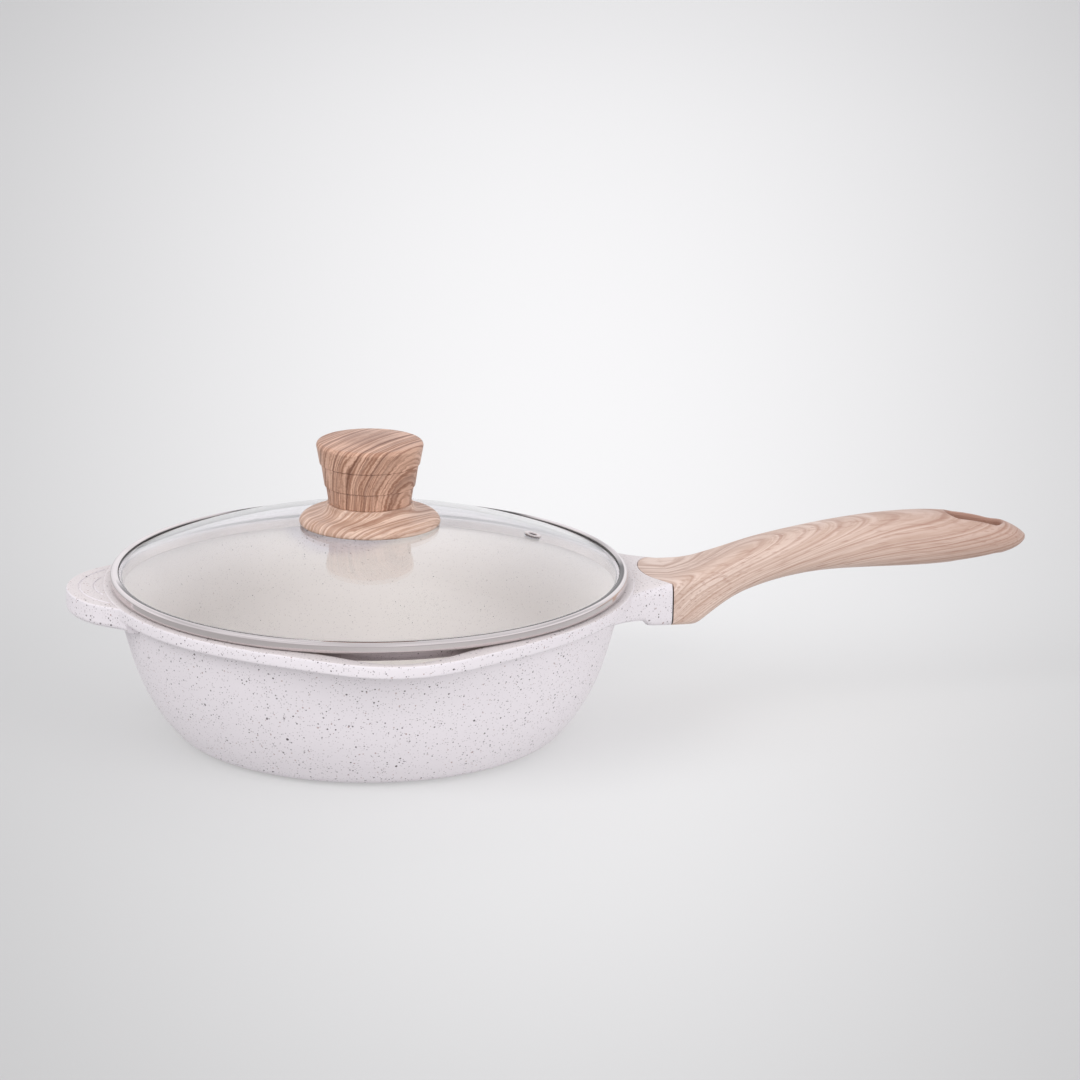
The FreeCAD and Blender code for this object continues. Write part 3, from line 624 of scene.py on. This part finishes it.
# Turned pieces. An outline is a list of (radius, height) in metres and is turned about the Z axis.

def arc(middleR, middleZ, r, start, end, steps=8):
    points = []
    for i in range(steps + 1):
        angle = math.radians(start + (end - start) * i / steps)
        points.append((middleR + r * math.cos(angle), middleZ + r * math.sin(angle)))
    return points


# Cuts a line into even short pieces, so that a turned face is fine enough to look smooth.
def fineLine(outline, longest, closed):
    made = []
    count = len(outline)
    for i in range(count if closed else count - 1):
        first = Vector(outline[i])
        second = Vector(outline[(i + 1) % count])
        steps = max(1, math.ceil((second - first).length / longest))
        made += [tuple(first.lerp(second, k / steps)) for k in range(steps)]
    if not closed:
        made.append(outline[-1])
    return made


# Turns a closed outline, or one that starts and ends on the axis, into a closed mesh.
def latheMesh(name, outline, around, closed=True):
    work = bmesh.new()
    rows = []
    for radius, height in outline:
        if radius < 1e-7:
            rows.append([work.verts.new((0, 0, height))])
            continue
        row = []
        for k in range(around):
            angle = 2 * math.pi * k / around
            row.append(work.verts.new((radius * math.cos(angle), radius * math.sin(angle), height)))
        rows.append(row)
    pairs = list(zip(rows, rows[1:] + rows[:1])) if closed else list(zip(rows, rows[1:]))
    for low, high in pairs:
        for k in range(around):
            after = (k + 1) % around
            ring = [low[k % len(low)], low[after % len(low)], high[after % len(high)], high[k % len(high)]]
            corners = []
            for vert in ring:
                if vert not in corners:
                    corners.append(vert)
            if len(corners) > 2:
                work.faces.new(corners)
    bmesh.ops.recalc_face_normals(work, faces=work.faces)
    for face in work.faces:
        face.smooth = True
    mesh = bpy.data.meshes.new(name)
    work.to_mesh(mesh)
    work.free()
    return mesh


def addPiece(name, mesh, material, body, slot, *replaced):
    piece = bpy.data.objects.new(name, mesh)
    bpy.context.scene.collection.objects.link(piece)
    mesh.materials.append(material)
    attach(piece, body)
    if replaced:
        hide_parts(*replaced)
    return piece


# Outline of a bent sheet: the centre line moved half the sheet's thickness to each side, with round ends.
def sheetOutline(centre, thickness):
    half = thickness / 2
    left = []
    right = []
    last = len(centre) - 1
    for i, point in enumerate(centre):
        before = Vector(centre[max(i - 1, 0)])
        after = Vector(centre[min(i + 1, last)])
        run = (after - before).normalized()
        side = Vector((-run.y, run.x)) * half
        left.append(tuple(Vector(point) + side))
        right.append(tuple(Vector(point) - side))
        if i in (0, last):
            turnedOut = -run if i == 0 else run
            tip = tuple(Vector(point) + turnedOut * half)
            if i == 0:
                startTip = tip
            else:
                endTip = tip
    return [startTip] + left + [endTip] + right[::-1]


glassShape = {
    "thickness": 3.5 * mm,
    "edgeThickness": 3.3 * mm,
    "brim": 3.2 * mm,
    "edgeRound": 1.1 * mm,
    "blend": 0.22 * mm,             # softness of the bend where the dome meets the brim
    "knobHole": 3.6 * mm,
    "ventHole": 3.0 * mm,
    "around": 288,
}


# Radius and middle height of the ball that the top of the dome is part of.
def domeBall():
    low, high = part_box("glass_dome")
    domeR = high[0] - glassShape["brim"]
    rise = high[2] - low[2] - glassShape["edgeThickness"]
    ballR = (domeR ** 2 + rise ** 2) / (2 * rise)
    return ballR, high[2] - ballR


def makeGlass():
    low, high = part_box("glass_dome")
    shape = glassShape
    edgeR = high[0]
    brimLow = low[2]
    brimTop = brimLow + shape["edgeThickness"]
    ballR, ballZ = domeBall()

    def surface(radius, r, floor):
        height = ballZ + math.sqrt(r ** 2 - radius ** 2) - floor
        soft = shape["blend"]
        return floor + (height if height > 12 * soft else soft * math.log1p(math.exp(height / soft)))

    steps = 72
    innerStop = edgeR - shape["edgeRound"]
    reach = innerStop - shape["knobHole"]
    radii = [shape["knobHole"] + reach * (i / steps) ** 0.85 for i in range(steps + 1)]
    under = [(r, surface(r, ballR - shape["thickness"], brimLow)) for r in radii]
    over = [(r, surface(r, ballR, brimTop)) for r in radii]
    edge = arc(innerStop, brimLow + shape["edgeRound"], shape["edgeRound"], -90, 0, 6)
    edge += arc(innerStop, brimTop - shape["edgeRound"], shape["edgeRound"], 0, 90, 6)
    mesh = latheMesh("glassDome", under + edge[1:-1] + over[::-1], shape["around"])
    piece = addPiece("glassDome", mesh, glassMaterial(), "lid", "lid_glass", "glass_dome")
    drillVent(piece)
    return piece


def ventMatrix():
    low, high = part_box("vent_eyelet")
    radius = 0.5 * (low[0] + high[0])
    ballR, ballZ = domeBall()
    tilt = math.asin(radius / ballR)
    height = ballZ + math.sqrt(ballR ** 2 - radius ** 2)
    return Matrix.Translation((radius, 0, height)) @ Matrix.Rotation(tilt, 4, "Y")


def drillVent(piece):
    hole = glassShape["ventHole"]
    outline = [(0, -0.012), (hole, -0.012), (hole, 0.012), (0, 0.012)]
    mesh = latheMesh("ventDrill", outline, 64, closed=False)
    drill = bpy.data.objects.new("ventDrill", mesh)
    bpy.context.scene.collection.objects.link(drill)
    drill.matrix_world = ventMatrix()
    cut = piece.modifiers.new("ventHole", "BOOLEAN")
    cut.object = drill
    cut.operation = "DIFFERENCE"
    cut.solver = "EXACT"
    bpy.context.view_layer.update()
    result = bpy.data.meshes.new_from_object(piece.evaluated_get(bpy.context.evaluated_depsgraph_get()))
    piece.modifiers.clear()
    old = piece.data
    piece.data = result
    result.name = "glassDome"
    for face in result.polygons:
        face.use_smooth = True
    bpy.data.meshes.remove(old)
    bpy.data.objects.remove(drill)


bandShape = {
    "thickness": 0.5 * mm,
    "lip": 3.8 * mm,
    "crown": 0.10 * mm,             # the lip is pressed slightly hollow, so its edge holds the glass
    "topRound": 1.5 * mm,
    "lowRound": 0.9 * mm,
    "skirtBend": 0.9 * mm,
    "skirtDrop": 5.0 * mm,
    "around": 320,
    # painted highlight round the top edge
    "paintedHighlight": (0.78, 0.73, 0.725),
    # painted dark reflection line where the lip ends
    "seam": (0.060, 0.055, 0.055),
    "seamFade": (1.7 * mm, 2.3 * mm),       # the painted dark line fades out between these, measured from the lip
}


# The band has a painted highlight round its top edge, and a painted dark reflection line shows here and
# there where its lip ends.
def bandMaterial():
    made = metalMaterial("bandSteel")
    tree = made.node_tree
    shader = tree.nodes["Principled BSDF"]
    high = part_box("lid_band")[1]
    x, y, z = axes(tree, objectSpace(tree))
    radius = length(tree, x, y)
    face = shader.inputs["Base Color"].links[0].from_socket
    # painted highlight: lighter round the top edge
    highlightShare = spread(tree, z, high[2] - 1.5 * mm, high[2] - 0.7 * mm)
    color = blendColor(tree, highlightShare, face, bandShape["paintedHighlight"])
    lip = high[0] - bandShape["lip"]
    seamStart, seamEnd = bandShape["seamFade"]
    # painted dark reflection line near the lip's end, broken by noise
    onTop = calc(tree, "GREATER_THAN", z, high[2] - 1.0 * mm)
    nearLip = spread(tree, radius, lip + seamStart, lip + seamEnd, 1.0, 0.0)
    seam = calc(tree, "MULTIPLY", onTop, nearLip)
    broken = spread(tree, noise(tree, objectSpace(tree), 9.0, 1.0), 0.36, 0.46)
    color = blendColor(tree, calc(tree, "MULTIPLY", seam, broken), color, bandShape["seam"])
    setInput(tree, shader.inputs["Base Color"], color)
    return made


def makeBand():
    low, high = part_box("lid_band")
    shape = bandShape
    half = shape["thickness"] / 2
    outR = high[0] - half
    top = high[2] - half
    under = low[2] + shape["skirtDrop"] + half
    skirtR = innerSkirt() - half
    topR = shape["topRound"]
    lowR = shape["lowRound"]
    bend = shape["skirtBend"]
    lipR = high[0] - shape["lip"] + half
    centre = [(lipR, top - shape["crown"]), (lipR + 0.9 * mm, top - 0.02 * mm)]
    centre += arc(outR - topR, top - topR, topR, 90, 0, 12)
    centre += arc(outR - lowR, under + lowR, lowR, 0, -90, 8)
    centre += arc(skirtR + bend, under - bend, bend, 90, 180, 8)
    centre += [(skirtR, low[2] + 0.9 * mm), (skirtR - 0.12 * mm, low[2] + half)]
    outline = sheetOutline(fineLine(centre, 1.5 * mm, False), shape["thickness"])
    mesh = latheMesh("lidBand", outline, shape["around"])
    return addPiece("lidBand", mesh, bandMaterial(), "lid", "band_steel", "lid_band")


# Outside radius of the band's skirt, read from the lowest points of its CAD mesh.
def innerSkirt():
    mesh = nodes["lid_band"].data
    lowest = min(vert.co.z for vert in mesh.vertices)
    foot = [vert.co for vert in mesh.vertices if vert.co.z < lowest + 0.1 * mm]
    return max(math.hypot(place.x, place.y) for place in foot)


knobShape = {
    "spigotR": 11.8 * mm,
    "spigotH": 3.0 * mm,
    "bottomR": 19.6 * mm,
    "steps": (8.3 * mm, 18.9 * mm),
    "stepOut": 0.8 * mm,
    "groove": 0.35 * mm,            # shadow groove under each step
    "crown": 1.6 * mm,
    "edge": 2.1 * mm,
    "around": 192,
}


def makeGrip():
    low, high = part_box("knob_grip")
    shape = knobShape
    base = low[2] + shape["spigotH"]
    top = high[2]
    topR = high[0]
    tall = top - base - shape["crown"]
    slope = (topR - shape["bottomR"] - 2 * shape["stepOut"]) / tall
    groove = shape["groove"]
    radius = shape["bottomR"]
    spigotR = shape["spigotR"]
    outline = [(0, low[2]), (spigotR, low[2]), (spigotR, base)]
    outline += arc(radius - 0.5 * mm, base + 0.5 * mm, 0.5 * mm, -90, 0, 5)
    last = 0.0
    for height in shape["steps"]:
        radius += slope * (height - last)
        z = base + height
        outline += [(radius, z - 0.5 * mm), (radius - 0.25 * groove, z - 0.2 * mm), (radius - groove, z)]
        radius += shape["stepOut"]
        outline += [(radius - 1.6 * groove, z + 0.12 * mm)]
        outline += arc(radius - 0.35 * mm, z + 0.47 * mm, 0.35 * mm, -80, 0, 5)
        last = height
    edge = shape["edge"]
    crownR = topR - edge
    rim = top - shape["crown"]
    outline += arc(crownR, rim - edge, edge, 0, 72, 10)
    lastR, lastZ = outline[-1]
    steps = 14
    for i in range(1, steps + 1):
        share = i / steps
        outline.append((lastR * (1 - share), lastZ + (top - lastZ) * (1 - (1 - share) ** 2)))
    mesh = latheMesh("knobGrip", fineLine(outline, 0.8 * mm, False), shape["around"], closed=False)
    material = knobMaterial("woodLookGrip", gripWood, top)
    return addPiece("knobGrip", mesh, material, "lid", "wood_look_dark", "knob_grip")


footShape = {
    "rimTall": 5.0 * mm,
    "shoulderIn": 6.4 * mm,
    "collarR": 20.6 * mm,
    "collarH": 10.0 * mm,
    "bore": 3.2 * mm,
    "spigotR": 12.0 * mm,
    "spigotH": 3.2 * mm,
}


def makeFoot():
    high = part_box("knob_foot")[1]
    shape = footShape
    footR = high[0]
    top = high[2]
    edge = top - shape["collarH"]
    ballR = domeBall()[0]
    ballZ = edge - math.sqrt(ballR ** 2 - (footR - 0.6 * mm) ** 2)
    inner = footR - 1.2 * mm
    outline = []
    for i in range(25):
        radius = shape["bore"] + (inner - shape["bore"]) * i / 24
        outline.append((radius, ballZ + math.sqrt(ballR ** 2 - radius ** 2)))
    outline += arc(footR - 0.9 * mm, edge + 0.9 * mm, 0.9 * mm, -80, 0, 6)
    shoulder = (footR - shape["shoulderIn"], edge + shape["rimTall"])
    start = outline[-1]
    for i in range(1, 13):              # the rounded rim is most of a quarter of an ellipse
        angle = math.radians(72 * i / 12)
        outline.append((shoulder[0] + (start[0] - shoulder[0]) * math.cos(angle),
                        start[1] + (shoulder[1] - start[1]) * math.sin(angle)))
    collarR = shape["collarR"]
    rimR, rimZ = outline[-1]
    rise = top - 0.5 * mm - rimZ
    for i in range(1, 17):              # the hollow sweep from the rim up into the collar
        share = i / 16
        radius = rimR + (collarR - rimR) * math.sin(share * math.pi / 2) ** 0.9
        outline.append((radius, rimZ + rise * (0.22 * share + 0.78 * share ** 3)))
    outline += arc(collarR - 0.5 * mm, top - 0.5 * mm, 0.5 * mm, 0, 90, 5)
    seat = top - shape["spigotH"]
    outline += [(shape["spigotR"], top), (shape["spigotR"], seat), (shape["bore"], seat)]
    mesh = latheMesh("knobFoot", fineLine(outline, 0.8 * mm, True), knobShape["around"])
    material = knobMaterial("woodLookFoot", footWood, top)
    return addPiece("knobFoot", mesh, material, "lid", "wood_look_dark", "knob_foot")


eyelet = {"bore": 2.0 * mm, "barrel": 2.6 * mm, "flange": 4.15 * mm, "roll": 0.32 * mm, "below": 4.3 * mm}


def makeEyelet():
    roll = eyelet["roll"]
    outline = [(eyelet["bore"], -eyelet["below"]), (eyelet["barrel"], -eyelet["below"])]
    outline += [(eyelet["barrel"], -0.1 * mm), (eyelet["barrel"] + 0.1 * mm, 0)]
    outline += arc(eyelet["flange"] - roll, roll, roll, -90, 100, 8)
    outline += arc(eyelet["bore"] + 0.55 * mm, 0.05 * mm, 0.55 * mm, 90, 180, 6)
    mesh = latheMesh("ventEyelet", fineLine(outline, 0.5 * mm, True), 96)
    mesh.transform(ventMatrix())
    return addPiece("ventEyelet", mesh, metalMaterial("bandSteel"), "lid", "band_steel", "vent_eyelet")


print("stage: lid pieces")
makeGlass()
makeBand()
makeGrip()
makeFoot()
makeEyelet()

# What the design's own nodes are finished with.
print("stage: finishes")
screwSteel = metalMaterial("screwSteel")
clearRubber = rubberMaterial("clearRubber")
finishes = {
    "pan_body": coatingMaterial(),
    "handle": handleMaterial(),
    "base_plate": metalMaterial("plateSteel"),
    "handle_gasket": rubberMaterial("blackRubber"),
    "band_seal": rubberMaterial("greyRubber"),
    "knob_pad": clearRubber,
    "knob_seal": clearRubber,
    "knob_insert": metalMaterial("insertBrass"),
}
replaced = ("glass_dome", "lid_band", "knob_grip", "knob_foot", "vent_eyelet")
for name, node in nodes.items():
    if name not in replaced:
        node.data.materials.clear()
        node.data.materials.append(finishes.get(name, screwSteel))

print("stage: done")
